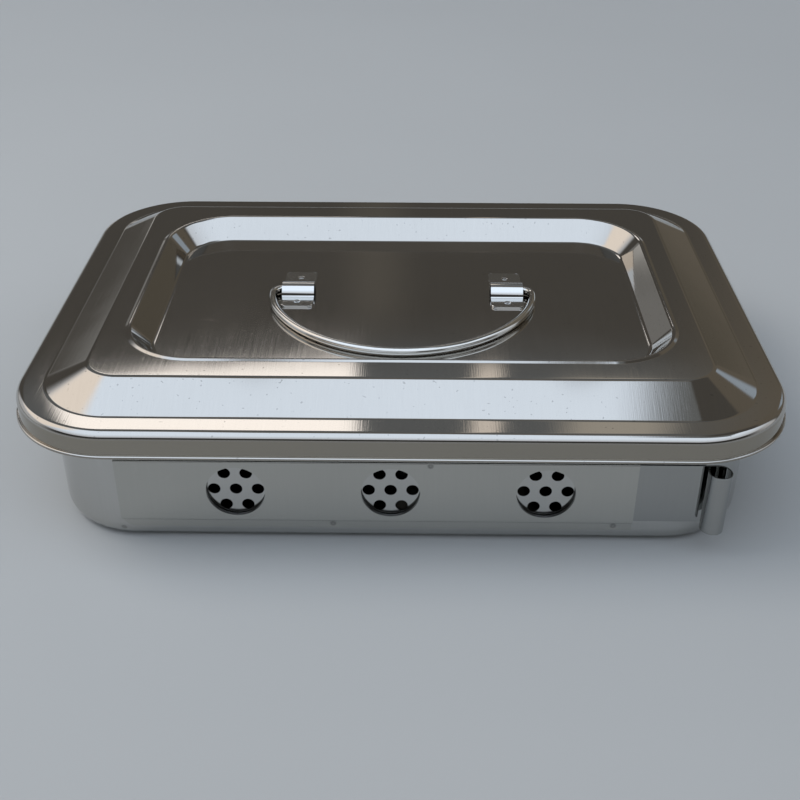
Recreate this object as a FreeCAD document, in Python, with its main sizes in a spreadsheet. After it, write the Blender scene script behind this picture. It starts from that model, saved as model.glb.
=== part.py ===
import FreeCAD, Part
from enum import IntEnum
import math
import os

import Sketcher
from FreeCAD import Placement, Rotation, Vector

# Steam sterilization container: a drawn tray with sliding vent shutters on both long walls, and a
# stamped lid with a folding wire handle. All sizes are millimetres. The origin is the centre of the
# tray's base on the surface it stands on, +X runs along the length, +Y to the rear, +Z up.

SIZES = (
    # Tray
    ("tray_length", 262.0),
    ("tray_width", 186.0),
    ("tray_height", 54.1),
    ("tray_corner", 32.0),
    ("tray_base_radius", 7.0),
    ("tray_sheet", 0.7),
    ("rim_reach", 7.5),
    ("rim_bead_radius", 1.5),
    ("rim_bend", 2.0),
    # Steam holes in groups of seven, and the windows over them
    ("vent_count", 3),
    ("vent_pitch", 56.5),
    ("vent_offset", -3.0),
    ("hole_diameter", 4.6),
    ("hole_pitch", 8.0),
    ("window_diameter", 21.5),
    # Guide strips welded to the long walls
    ("guide_end_margin", 21.95),
    ("guide_sheet", 0.6),
    ("guide_flange", 3.6),
    ("guide_face", 27.0),
    ("guide_corner", 5.0),
    ("guide_inner_bend", 0.3),
    # Shutters
    ("shutter_sheet", 0.6),
    ("shutter_face_gap", 0.35),
    ("shutter_edge_gap", 0.3),
    ("shutter_end_cover", 1.3),
    ("shutter_end_margin", 7.75),
    ("shutter_overlap", 2.0),
    ("pull_radius", 4.3),
    ("pull_turn", 285.0),
    ("pull_gap", 0.3),
    # Lid
    ("lid_sheet", 0.7),
    ("lid_play", 1.8),
    ("seat_gap", 0.3),
    ("corner_ease", 4.0),
    ("skirt_depth", 9.7),
    ("skirt_bead_radius", 1.1),
    ("skirt_bead_reach", 2.0),
    ("shoulder_radius", 3.6),
    ("flange_width", 9.6),
    ("slope_width", 16.4),
    ("slope_rise", 7.9),
    ("slope_foot_radius", 3.0),
    ("slope_head_radius", 4.0),
    ("panel_length", 212.0),
    ("panel_width", 131.5),
    ("panel_corner", 28.0),
    ("panel_depth", 8.7),
    ("panel_wall_inset", 6.0),
    ("panel_lip_radius", 2.5),
    ("panel_foot_radius", 2.5),
    # Handle and its two strap brackets
    ("wire_diameter", 3.2),
    ("wire_gap", 0.3),
    ("hinge_offset", 4.5),
    ("bail_side_gap", 1.95),
    ("bail_depth", 52.0),
    ("bail_side_radius", 38.0),
    ("bail_end_bend", 4.0),
    ("bracket_spacing", 87.5),
    ("bracket_width", 13.4),
    ("bracket_sheet", 0.8),
    ("loop_radius", 4.1),
    ("loop_bend", 0.8),
    ("front_foot", 8.1),
    ("rear_foot", 13.5),
    ("foot_corner", 2.0),
    ("pin_setback", 2.5),
)

doc = FreeCAD.newDocument("sterilization_container")
sheet = doc.addObject("Spreadsheet::Sheet", "Sizes")
for row, (alias, amount) in enumerate(SIZES, start=1):
    sheet.set(f"A{row}", alias)
    sheet.set(f"B{row}", str(amount))
    sheet.setAlias(f"B{row}", alias)
doc.recompute()

# Sizes and heights that follow from the driving ones, as expressions
HALF_LENGTH = "(Sizes.tray_length / 2)"
HALF_WIDTH = "(Sizes.tray_width / 2)"
RIM_OUT = "(Sizes.rim_reach - Sizes.rim_bead_radius)"
LID_OUT = "(Sizes.rim_reach + Sizes.lid_play + Sizes.lid_sheet)"
LID_HALF_LENGTH = f"({HALF_LENGTH} + {LID_OUT})"
LID_HALF_WIDTH = f"({HALF_WIDTH} + {LID_OUT})"
LID_CORNER = f"(Sizes.tray_corner + {LID_OUT} - Sizes.corner_ease)"
FLANGE_TOP = "(Sizes.tray_height + Sizes.seat_gap + Sizes.lid_sheet)"
SKIRT_BOTTOM = f"({FLANGE_TOP} - Sizes.skirt_depth)"
RING_TOP = f"({FLANGE_TOP} + Sizes.slope_rise)"
PANEL_TOP = f"({RING_TOP} - Sizes.panel_depth)"
GUIDE_BOTTOM = "Sizes.tray_base_radius"
FACE_BOTTOM = f"({GUIDE_BOTTOM} + Sizes.guide_flange)"
FACE_TOP = f"({FACE_BOTTOM} + Sizes.guide_face)"
GUIDE_TOP = f"({FACE_TOP} + Sizes.guide_flange)"
VENT_HEIGHT = f"({FACE_BOTTOM} + Sizes.guide_face / 2)"
VENT_ROW = "((Sizes.vent_count - 1) * Sizes.vent_pitch)"
FIRST_VENT = f"(Sizes.vent_offset - {VENT_ROW} / 2)"
SHUTTER_TRAVEL = "(Sizes.window_diameter + Sizes.shutter_overlap)"
SHUTTER_LEFT = f"({FIRST_VENT} - Sizes.window_diameter / 2 - Sizes.shutter_end_margin)"
GUIDE_LEFT = f"({SHUTTER_LEFT} - {SHUTTER_TRAVEL} - Sizes.shutter_end_cover)"
GUIDE_RIGHT = f"({FIRST_VENT} + {VENT_ROW} + Sizes.window_diameter / 2 + Sizes.guide_end_margin)"
CHANNEL = "(Sizes.shutter_sheet + 2 * Sizes.shutter_face_gap)"
WIRE_RADIUS = "(Sizes.wire_diameter / 2)"
HINGE_HEIGHT = f"({PANEL_TOP} + {WIRE_RADIUS} + Sizes.wire_gap)"

NEAR = 1e-4


class Spot(IntEnum):
    """Which point of a sketched line or arc is meant."""

    START = 1
    END = 2
    CENTRE = 3


class Datum(IntEnum):
    """A sketch's own origin and axes."""

    ORIGIN = -1
    AXIS_X = -1
    AXIS_Y = -2


AT_ORIGIN = Datum.ORIGIN, Spot.START


def number(expression):
    """Value of an expression over the sheet's cells."""
    return float(sheet.evalExpression(str(expression)))


def bind(target, name, expression):
    """Ties one property to the sheet."""
    target.setExpression(name, str(expression))


def new_body(name):
    """Starts one sub-part, whose label names its file."""
    body = doc.addObject("PartDesign::Body", name)
    body.Label = name
    return body


def new_sketch(body, name, role, offset=None):
    """Sketch on one of the body's own origin planes, moved along its normal by an expression."""
    plane = next(item for item in body.Origin.OriginFeatures if item.Role == role)
    sketch = body.newObject("Sketcher::SketchObject", name)
    sketch.AttachmentSupport = [(plane, "")]
    sketch.MapMode = "FlatFace"
    if offset is not None:
        bind(sketch, "AttachmentOffset.Base.z", offset)
    return sketch


def dimension(sketch, constraint, expression):
    """Adds a constraint whose value is an expression."""
    index = sketch.addConstraint(constraint)
    label = f"size_{index}"
    sketch.renameConstraint(index, label)
    bind(sketch, f"Constraints.{label}", expression)


def place_point(sketch, geometry, point, across, up):
    """Fixes a point of a sketch by its two distances from the origin."""
    for kind, expression in (("DistanceX", across), ("DistanceY", up)):
        amount = number(expression)
        if abs(amount) < NEAR:
            aligned = "Vertical" if kind == "DistanceX" else "Horizontal"
            sketch.addConstraint(Sketcher.Constraint(aligned, *AT_ORIGIN, geometry, point))
        elif amount > 0:
            rule = Sketcher.Constraint(kind, *AT_ORIGIN, geometry, point, amount)
            dimension(sketch, rule, expression)
        else:
            rule = Sketcher.Constraint(kind, geometry, point, *AT_ORIGIN, -amount)
            dimension(sketch, rule, f"-({expression})")


def add_circle(sketch, across, up, radius):
    """Circle whose centre and radius are expressions."""
    centre = Vector(number(across), number(up), 0)
    circle = sketch.addGeometry(Part.Circle(centre, Vector(0, 0, 1), number(radius)), False)
    dimension(sketch, Sketcher.Constraint("Radius", circle, number(radius)), radius)
    place_point(sketch, circle, Spot.CENTRE, across, up)
    return circle


def add_polygon(sketch, corners):
    """Closed run of straight lines through corners given as pairs of expressions."""
    points = [Vector(number(across), number(up), 0) for across, up in corners]
    count = len(points)
    lines = []
    for i in range(count):
        lines.append(sketch.addGeometry(Part.LineSegment(points[i], points[(i + 1) % count]), False))
    for i in range(count):
        meeting = lines[i - 1], Spot.END, lines[i], Spot.START
        sketch.addConstraint(Sketcher.Constraint("Coincident", *meeting))
    for line, (across, up) in zip(lines, corners):
        place_point(sketch, line, Spot.START, across, up)
    return lines


def add_arc(sketch, centre, radius, start, end):
    """Arc of a circle from one angle to another, counter-clockwise, in degrees."""
    circle = Part.Circle(centre, Vector(0, 0, 1), radius)
    return sketch.addGeometry(Part.ArcOfCircle(circle, math.radians(start), math.radians(end)), False)


def add_rounded_rectangle(sketch, half_length, half_width, radius):
    """Rounded rectangle about the origin: half sizes and corner radius are expressions."""
    size_r = number(radius)
    across = number(half_length) - size_r
    up = number(half_width) - size_r
    quarters = ((1, 1), (-1, 1), (-1, -1), (1, -1))
    arcs = []
    for turn, (side_x, side_y) in enumerate(quarters):
        centre = Vector(side_x * across, side_y * up, 0)
        arcs.append(add_arc(sketch, centre, size_r, 90 * turn, 90 * (turn + 1)))
    for turn in range(4):
        near, far = arcs[turn], arcs[(turn + 1) % 4]
        begin = sketch.getPoint(near, Spot.END)
        finish = sketch.getPoint(far, Spot.START)
        line = sketch.addGeometry(Part.LineSegment(begin, finish), False)
        sketch.addConstraint(Sketcher.Constraint("Tangent", near, Spot.END, line, Spot.START))
        sketch.addConstraint(Sketcher.Constraint("Tangent", line, Spot.END, far, Spot.START))
    for arc in arcs[1:]:
        sketch.addConstraint(Sketcher.Constraint("Equal", arcs[0], arc))
    first = arcs[0], Spot.CENTRE
    sketch.addConstraint(Sketcher.Constraint("Symmetric", *first, arcs[1], Spot.CENTRE, Datum.AXIS_Y))
    sketch.addConstraint(Sketcher.Constraint("Symmetric", *first, arcs[3], Spot.CENTRE, Datum.AXIS_X))
    sketch.addConstraint(Sketcher.Constraint("Symmetric", *first, arcs[2], Spot.CENTRE, *AT_ORIGIN))
    dimension(sketch, Sketcher.Constraint("Radius", arcs[0], size_r), radius)
    place_point(sketch, *first, f"{half_length} - ({radius})", f"{half_width} - ({radius})")


def rounded_section(body, name, height, half_length, half_width, radius):
    """Sketch of a rounded rectangle at a height."""
    sketch = new_sketch(body, name, "XY_Plane", height)
    add_rounded_rectangle(sketch, half_length, half_width, radius)
    return sketch


def pad(body, name, sketch, length, both_ways=False):
    """Pads a sketch by an expression."""
    feature = body.newObject("PartDesign::Pad", name)
    feature.Profile = sketch
    bind(feature, "Length", length)
    feature.Midplane = both_ways
    doc.recompute()
    return feature


def loft(body, name, lower, upper, subtract=False):
    """Straight loft between two sections, added or taken away."""
    kind = "SubtractiveLoft" if subtract else "AdditiveLoft"
    feature = body.newObject(f"PartDesign::{kind}", name)
    feature.Profile = lower
    feature.Sections = [upper]
    feature.Ruled = True
    doc.recompute()
    return feature


def pipe(body, name, profile, path):
    """Carries a profile along a path."""
    feature = body.newObject("PartDesign::AdditivePipe", name)
    feature.Profile = profile
    feature.Spine = path
    doc.recompute()
    return feature


def cut_through(body, name, sketch):
    """Pocket that runs through the whole body both ways, and must take something away."""
    before = body.Tip.Shape.Volume
    feature = body.newObject("PartDesign::Pocket", name)
    feature.Profile = sketch
    feature.Type = "ThroughAll"
    feature.Midplane = True
    doc.recompute()
    if feature.Shape.Volume > before - NEAR:
        raise RuntimeError(f"{name} cuts nothing")
    return feature


def row_of_vents(body, name, feature, axis_sketch, leftward=False):
    """Repeats a feature at every vent along a sketch's horizontal axis."""
    pattern = body.newObject("PartDesign::LinearPattern", name)
    pattern.Originals = [feature]
    pattern.Direction = (axis_sketch, ["H_Axis"])
    pattern.Reversed = leftward
    bind(pattern, "Occurrences", "Sizes.vent_count")
    bind(pattern, "Length", VENT_ROW)
    body.Tip = pattern
    doc.recompute()
    return pattern


def fillet(body, name, edges, radius):
    """Rounds named edges of the body's last feature."""
    feature = body.newObject("PartDesign::Fillet", name)
    feature.Base = (feature.BaseFeature, edges)
    bind(feature, "Radius", radius)
    doc.recompute()
    return feature


def outline_distance(point, half_length, half_width, radius):
    """Distance in plan from a point to a rounded rectangle about the origin."""
    across = abs(point.x) - (half_length - radius)
    up = abs(point.y) - (half_width - radius)
    outside = math.hypot(max(across, 0.0), max(up, 0.0))
    return outside + min(max(across, up), 0.0) - radius


def outline_edges(shape, height, half_length, half_width, radius):
    """Names of the level edges that follow a rounded rectangle at a height."""
    level = number(height)
    sizes = number(half_length), number(half_width), number(radius)
    names = []
    for index, edge in enumerate(shape.Edges, start=1):
        middle = edge.valueAt((edge.FirstParameter + edge.LastParameter) / 2)
        ends = [vertex.Point for vertex in edge.Vertexes]
        points = [middle] + ends
        flat = all(abs(point.z - level) < NEAR for point in points)
        if flat and all(abs(outline_distance(point, *sizes)) < NEAR for point in points):
            names.append(f"Edge{index}")
    return names


def straight_edges(shape, direction, spots, plane):
    """Names of the edges along a direction that pass through spots given in the other two axes."""
    names = []
    for index, edge in enumerate(shape.Edges, start=1):
        first, last = edge.Vertexes[0].Point, edge.Vertexes[-1].Point
        run = last - first
        if run.Length < NEAR or abs(abs(run.normalize().dot(direction)) - 1) > NEAR:
            continue
        for spot in spots:
            if all(abs(getattr(first, axis) - amount) < NEAR for axis, amount in zip(plane, spot)):
                names.append(f"Edge{index}")
    return names


def level_face(shape, height):
    """Name of the largest level face at a height."""
    level = number(height)
    best = None
    for index, face in enumerate(shape.Faces, start=1):
        box = face.BoundBox
        if abs(box.ZMin - level) < NEAR and abs(box.ZMax - level) < NEAR:
            if best is None or face.Area > best[0]:
                best = face.Area, f"Face{index}"
    return best[1]


def hollow(body, name, face, sheet_size):
    """Leaves an inward sheet on every face but one."""
    feature = body.newObject("PartDesign::Thickness", name)
    feature.Base = (feature.BaseFeature, [face])
    bind(feature, "Value", sheet_size)
    feature.Mode = 0
    feature.Join = 0
    feature.Reversed = True
    doc.recompute()
    return feature


def bead(body, name, height, half_length, half_width, corner, radius):
    """Rolled edge: a round section carried along a rounded rectangle."""
    path = rounded_section(body, f"{name}_path", height, half_length, half_width, corner)
    section = new_sketch(body, f"{name}_section", "XZ_Plane")
    add_circle(section, half_length, height, radius)
    doc.recompute()
    return pipe(body, name, section, path)


# Tray: a drawn pan with a flange and a rolled rim
def make_tray():
    body = new_body("tray_body")
    outline = HALF_LENGTH, HALF_WIDTH, "Sizes.tray_corner"
    base = rounded_section(body, "tray_outline", "0", *outline)
    block = pad(body, "tray_block", base, "Sizes.tray_height")
    base_edges = outline_edges(block.Shape, "0", *outline)
    rounded = fillet(body, "tray_base_round", base_edges, "Sizes.tray_base_radius")
    hollow(body, "tray_pan", level_face(rounded.Shape, "Sizes.tray_height"), "Sizes.tray_sheet")

    flange_bottom = "(Sizes.tray_height - Sizes.tray_sheet)"
    flange = new_sketch(body, "rim_outline", "XY_Plane", flange_bottom)
    inner = [f"({size} - Sizes.tray_sheet)" for size in outline]
    outer = [f"({size} + {RIM_OUT})" for size in outline]
    add_rounded_rectangle(flange, *inner)
    add_rounded_rectangle(flange, *outer)
    pad(body, "rim_flange", flange, "Sizes.tray_sheet")
    bead_height = "(Sizes.tray_height - Sizes.rim_bead_radius)"
    rim = bead(body, "rim_bead", bead_height, *outer, "Sizes.rim_bead_radius")

    under = outline_edges(rim.Shape, flange_bottom, *outline)
    inside_bend = "(Sizes.rim_bend - Sizes.tray_sheet)"
    bend = fillet(body, "rim_under_bend", under, inside_bend)
    over = outline_edges(bend.Shape, "Sizes.tray_height", *inner)
    fillet(body, "rim_over_bend", over, "Sizes.rim_bend")

    add_vents(body, "front", FIRST_VENT)
    add_vents(body, "rear", f"-{FIRST_VENT}")
    return body


# Steam holes: one in the middle of each group and six about it, cut from inside through one wall
def add_vents(body, side, first):
    sketch = new_sketch(body, f"{side}_vent_group", "XZ_Plane")
    add_circle(sketch, first, VENT_HEIGHT, "(Sizes.hole_diameter / 2)")
    for turn in range(6):
        angle = 60 * turn
        across = f"({first} + Sizes.hole_pitch * cos({angle} deg))"
        up = f"({VENT_HEIGHT} + Sizes.hole_pitch * sin({angle} deg))"
        add_circle(sketch, across, up, "(Sizes.hole_diameter / 2)")
    before = body.Tip.Shape.Volume
    group = body.newObject("PartDesign::Pocket", f"{side}_vents")
    group.Profile = sketch
    group.Type = "ThroughAll"
    group.Reversed = side == "front"
    doc.recompute()
    if group.Shape.Volume > before - NEAR:
        raise RuntimeError(f"{side} vents cut nothing")
    row_of_vents(body, f"{side}_vent_row", group, sketch, leftward=side == "rear")


# Guide: a hat-shaped strip on the front wall, whose raised face leaves a channel for the shutter
def make_guide(name, half_turn):
    body = new_body(name)
    wall = f"(-{HALF_WIDTH})"
    web = "Sizes.guide_sheet"
    channel = f"({wall} - {CHANNEL})"
    face = f"({channel} - {web})"
    foot = f"({wall} - {web})"
    profile = new_sketch(body, f"{name}_profile", "YZ_Plane", GUIDE_LEFT)
    add_polygon(profile, (
        (wall, GUIDE_BOTTOM),
        (wall, f"({FACE_BOTTOM} + {web})"),
        (channel, f"({FACE_BOTTOM} + {web})"),
        (channel, f"({FACE_TOP} - {web})"),
        (wall, f"({FACE_TOP} - {web})"),
        (wall, GUIDE_TOP),
        (foot, GUIDE_TOP),
        (foot, FACE_TOP),
        (face, FACE_TOP),
        (face, FACE_BOTTOM),
        (foot, FACE_BOTTOM),
        (foot, GUIDE_BOTTOM),
    ))
    strip = pad(body, f"{name}_strip", profile, f"({GUIDE_RIGHT} - {GUIDE_LEFT})")
    inner_corners = [
        (number(channel), number(f"{FACE_BOTTOM} + {web}")),
        (number(channel), number(f"{FACE_TOP} - {web}")),
        (number(foot), number(FACE_BOTTOM)),
        (number(foot), number(FACE_TOP)),
    ]
    inner_edges = straight_edges(strip.Shape, Vector(1, 0, 0), inner_corners, "yz")
    eased = fillet(body, f"{name}_inner_bends", inner_edges, "Sizes.guide_inner_bend")
    outer_corners = [
        (number(face), number(FACE_BOTTOM)),
        (number(face), number(FACE_TOP)),
        (number(wall), number(f"{FACE_BOTTOM} + {web}")),
        (number(wall), number(f"{FACE_TOP} - {web}")),
    ]
    outer_edges = straight_edges(eased.Shape, Vector(1, 0, 0), outer_corners, "yz")
    fillet(body, f"{name}_outer_bends", outer_edges, f"Sizes.guide_inner_bend + {web}")
    cut_through(body, f"{name}_corner", corner_sketch(body, f"{name}_corner_line"))
    cut_windows(body, name)
    turn_about_middle(body, half_turn)
    return body


def corner_sketch(body, name):
    """What a quarter round leaves of the guide's lower left corner."""
    sketch = new_sketch(body, name, "XZ_Plane")
    radius = "Sizes.guide_corner"
    tip = Vector(number(GUIDE_LEFT), number(GUIDE_BOTTOM), 0)
    size_r = number(radius)
    centre = tip + Vector(size_r, size_r, 0)
    arc = add_arc(sketch, centre, size_r, 180, 270)
    upright = sketch.addGeometry(Part.LineSegment(sketch.getPoint(arc, Spot.START), tip), False)
    level = sketch.addGeometry(Part.LineSegment(tip, sketch.getPoint(arc, Spot.END)), False)
    sketch.addConstraint(Sketcher.Constraint("Tangent", arc, Spot.START, upright, Spot.START))
    sketch.addConstraint(Sketcher.Constraint("Tangent", arc, Spot.END, level, Spot.END))
    sketch.addConstraint(Sketcher.Constraint("Coincident", upright, Spot.END, level, Spot.START))
    sketch.addConstraint(Sketcher.Constraint("Vertical", upright))
    dimension(sketch, Sketcher.Constraint("Radius", arc, size_r), radius)
    place_point(sketch, upright, Spot.END, GUIDE_LEFT, GUIDE_BOTTOM)
    return sketch


def cut_windows(body, name):
    """Row of round windows through a strip."""
    sketch = new_sketch(body, f"{name}_window", "XZ_Plane")
    add_circle(sketch, FIRST_VENT, VENT_HEIGHT, "(Sizes.window_diameter / 2)")
    window = cut_through(body, f"{name}_first_window", sketch)
    row_of_vents(body, f"{name}_windows", window, sketch)


def turn_about_middle(body, half_turn):
    """Turns a piece of the front wall half round, to the rear wall."""
    angle = 180 if half_turn else 0
    body.Placement = Placement(Vector(0, 0, 0), Rotation(Vector(0, 0, 1), angle))


# Shutter: a strip in the guide's channel, with its outer end rolled forward into a finger pull
def make_shutter(name, half_turn):
    body = new_body(name)
    back = f"(-{HALF_WIDTH} - Sizes.shutter_face_gap)"
    front = f"({back} - Sizes.shutter_sheet)"
    left = SHUTTER_LEFT
    pull_x = f"({GUIDE_RIGHT} + {SHUTTER_TRAVEL} + Sizes.pull_gap + Sizes.pull_radius)"
    pull_y = f"({back} - Sizes.pull_radius)"
    bottom = f"({FACE_BOTTOM} + Sizes.guide_sheet + Sizes.shutter_edge_gap)"
    height = "(Sizes.guide_face - 2 * Sizes.guide_sheet - 2 * Sizes.shutter_edge_gap)"

    profile = new_sketch(body, f"{name}_profile", "XY_Plane", bottom)
    centre = Vector(number(pull_x), number(pull_y), 0)
    outer_radius = number("Sizes.pull_radius")
    inner_radius = outer_radius - number("Sizes.shutter_sheet")
    end_angle = 90 - number("Sizes.pull_turn")
    outer = add_arc(profile, centre, outer_radius, end_angle, 90)
    inner = add_arc(profile, centre, inner_radius, end_angle, 90)
    far_back = Vector(number(left), number(back), 0)
    far_front = Vector(number(left), number(front), 0)
    back_line = profile.addGeometry(Part.LineSegment(profile.getPoint(outer, Spot.END), far_back), False)
    end_line = profile.addGeometry(Part.LineSegment(far_back, far_front), False)
    front_line = profile.addGeometry(Part.LineSegment(far_front, profile.getPoint(inner, Spot.END)), False)
    tip_start = profile.getPoint(inner, Spot.START)
    tip_line = profile.addGeometry(Part.LineSegment(tip_start, profile.getPoint(outer, Spot.START)), False)
    profile.addConstraint(Sketcher.Constraint("Tangent", outer, Spot.END, back_line, Spot.START))
    profile.addConstraint(Sketcher.Constraint("Tangent", inner, Spot.END, front_line, Spot.END))
    profile.addConstraint(Sketcher.Constraint("Coincident", back_line, Spot.END, end_line, Spot.START))
    profile.addConstraint(Sketcher.Constraint("Coincident", end_line, Spot.END, front_line, Spot.START))
    profile.addConstraint(Sketcher.Constraint("Coincident", inner, Spot.START, tip_line, Spot.START))
    profile.addConstraint(Sketcher.Constraint("Coincident", outer, Spot.START, tip_line, Spot.END))
    profile.addConstraint(Sketcher.Constraint("Coincident", outer, Spot.CENTRE, inner, Spot.CENTRE))
    profile.addConstraint(Sketcher.Constraint("PointOnObject", outer, Spot.CENTRE, tip_line))
    profile.addConstraint(Sketcher.Constraint("Horizontal", back_line))
    profile.addConstraint(Sketcher.Constraint("Vertical", end_line))
    place_point(profile, outer, Spot.CENTRE, pull_x, pull_y)
    place_point(profile, back_line, Spot.END, left, back)
    sheet_size = "Sizes.shutter_sheet"
    dimension(profile, Sketcher.Constraint("Distance", end_line, number(sheet_size)), sheet_size)
    tip_turn = math.radians(number("Sizes.pull_turn"))
    dimension(profile, Sketcher.Constraint("Angle", outer, tip_turn), "Sizes.pull_turn * 1 deg")
    pad(body, f"{name}_strip", profile, height)
    cut_windows(body, name)
    turn_about_middle(body, half_turn)
    return body


# Lid: a stamped sheet with a skirt, a flange, a sloped border up to a ring, and a sunk panel
def make_lid():
    body = new_body("lid_shell")
    skirt = LID_HALF_LENGTH, LID_HALF_WIDTH, LID_CORNER
    slope_foot = [f"({size} - Sizes.flange_width)" for size in skirt]
    slope_head = [f"({size} - Sizes.slope_width)" for size in slope_foot]
    lip = "(Sizes.panel_length / 2)", "(Sizes.panel_width / 2)", "Sizes.panel_corner"
    floor = [f"({size} - Sizes.panel_wall_inset)" for size in lip]

    skirt_outline = rounded_section(body, "skirt_outline", SKIRT_BOTTOM, *skirt)
    pad(body, "lid_block", skirt_outline, "Sizes.skirt_depth")
    low = rounded_section(body, "slope_foot", FLANGE_TOP, *slope_foot)
    high = rounded_section(body, "slope_head", RING_TOP, *slope_head)
    loft(body, "slope", low, high)
    mouth = rounded_section(body, "panel_mouth", RING_TOP, *lip)
    bottom = rounded_section(body, "panel_floor", PANEL_TOP, *floor)
    loft(body, "panel_recess", mouth, bottom, subtract=True)

    rounds = (
        ("shoulder", FLANGE_TOP, skirt, "Sizes.shoulder_radius"),
        ("slope_foot_bend", FLANGE_TOP, slope_foot, "Sizes.slope_foot_radius"),
        ("slope_head_bend", RING_TOP, slope_head, "Sizes.slope_head_radius"),
        ("panel_lip_bend", RING_TOP, lip, "Sizes.panel_lip_radius"),
        ("panel_foot_bend", PANEL_TOP, floor, "Sizes.panel_foot_radius"),
    )
    for name, height, outline, radius in rounds:
        fillet(body, name, outline_edges(body.Tip.Shape, height, *outline), radius)
    hollow(body, "lid_sheet_metal", level_face(body.Tip.Shape, SKIRT_BOTTOM), "Sizes.lid_sheet")

    bead_out = "(Sizes.skirt_bead_reach - Sizes.skirt_bead_radius)"
    bead_line = [f"({size} + {bead_out})" for size in skirt]
    bead_height = f"({SKIRT_BOTTOM} + Sizes.skirt_bead_radius / 2)"
    bead(body, "skirt_bead", bead_height, *bead_line, "Sizes.skirt_bead_radius")
    return body


# Bracket: a strap with two flat feet and a half-round loop that holds one end of the handle
def make_bracket(name, side):
    body = new_body(name)
    hinge = "Sizes.hinge_offset"
    inner = "Sizes.loop_radius"
    strap = "Sizes.bracket_sheet"
    outer = f"({inner} + {strap})"
    foot_top = f"({PANEL_TOP} + {strap})"
    front_end = f"({hinge} - {outer} - Sizes.front_foot)"
    rear_end = f"({hinge} + {outer} + Sizes.rear_foot)"

    profile = new_sketch(body, f"{name}_profile", "YZ_Plane", f"({side} * Sizes.bracket_spacing / 2)")
    centre = Vector(number(hinge), number(PANEL_TOP), 0)
    rise = number(strap)
    outer_radius = number(outer)
    shoulder_angle = math.degrees(math.asin(rise / outer_radius))
    under = add_arc(profile, centre, number(inner), 0, 180)
    over = add_arc(profile, centre, outer_radius, shoulder_angle, 180 - shoulder_angle)
    corners = {
        "front_low": Vector(number(front_end), centre.y, 0),
        "front_high": Vector(number(front_end), number(foot_top), 0),
        "rear_low": Vector(number(rear_end), centre.y, 0),
        "rear_high": Vector(number(rear_end), number(foot_top), 0),
    }
    runs = (
        (profile.getPoint(under, Spot.END), corners["front_low"]),
        (corners["front_low"], corners["front_high"]),
        (corners["front_high"], profile.getPoint(over, Spot.END)),
        (profile.getPoint(over, Spot.START), corners["rear_high"]),
        (corners["rear_high"], corners["rear_low"]),
        (corners["rear_low"], profile.getPoint(under, Spot.START)),
    )
    lines = [profile.addGeometry(Part.LineSegment(*run), False) for run in runs]
    joints = (
        (under, Spot.END, lines[0], Spot.START),
        (lines[0], Spot.END, lines[1], Spot.START),
        (lines[1], Spot.END, lines[2], Spot.START),
        (lines[2], Spot.END, over, Spot.END),
        (over, Spot.START, lines[3], Spot.START),
        (lines[3], Spot.END, lines[4], Spot.START),
        (lines[4], Spot.END, lines[5], Spot.START),
        (lines[5], Spot.END, under, Spot.START),
    )
    for joint in joints:
        profile.addConstraint(Sketcher.Constraint("Coincident", *joint))
    profile.addConstraint(Sketcher.Constraint("Coincident", under, Spot.CENTRE, over, Spot.CENTRE))
    for line in (lines[0], lines[2], lines[3], lines[5]):
        profile.addConstraint(Sketcher.Constraint("Horizontal", line))
    dimension(profile, Sketcher.Constraint("Radius", under, number(inner)), inner)
    dimension(profile, Sketcher.Constraint("Radius", over, outer_radius), outer)
    place_point(profile, under, Spot.CENTRE, hinge, PANEL_TOP)
    place_point(profile, lines[0], Spot.END, front_end, PANEL_TOP)
    place_point(profile, lines[1], Spot.END, front_end, foot_top)
    place_point(profile, lines[4], Spot.START, rear_end, foot_top)
    place_point(profile, lines[4], Spot.END, rear_end, PANEL_TOP)
    strap_pad = pad(body, f"{name}_strap", profile, "Sizes.bracket_width", both_ways=True)

    reach = math.sqrt(outer_radius ** 2 - rise ** 2)
    bends = [(number(hinge) + way * reach, number(foot_top)) for way in (-1, 1)]
    bend_edges = straight_edges(strap_pad.Shape, Vector(1, 0, 0), bends, "yz")
    bent = fillet(body, f"{name}_bends", bend_edges, "Sizes.loop_bend")
    middle = side * number("Sizes.bracket_spacing / 2")
    half = number("Sizes.bracket_width / 2")
    ends = number(front_end), number(rear_end)
    corner_spots = [(middle + way * half, end) for way in (-1, 1) for end in ends]
    corner_edges = straight_edges(bent.Shape, Vector(0, 0, 1), corner_spots, "xy")
    fillet(body, f"{name}_foot_corners", corner_edges, "Sizes.foot_corner")
    return body


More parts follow.
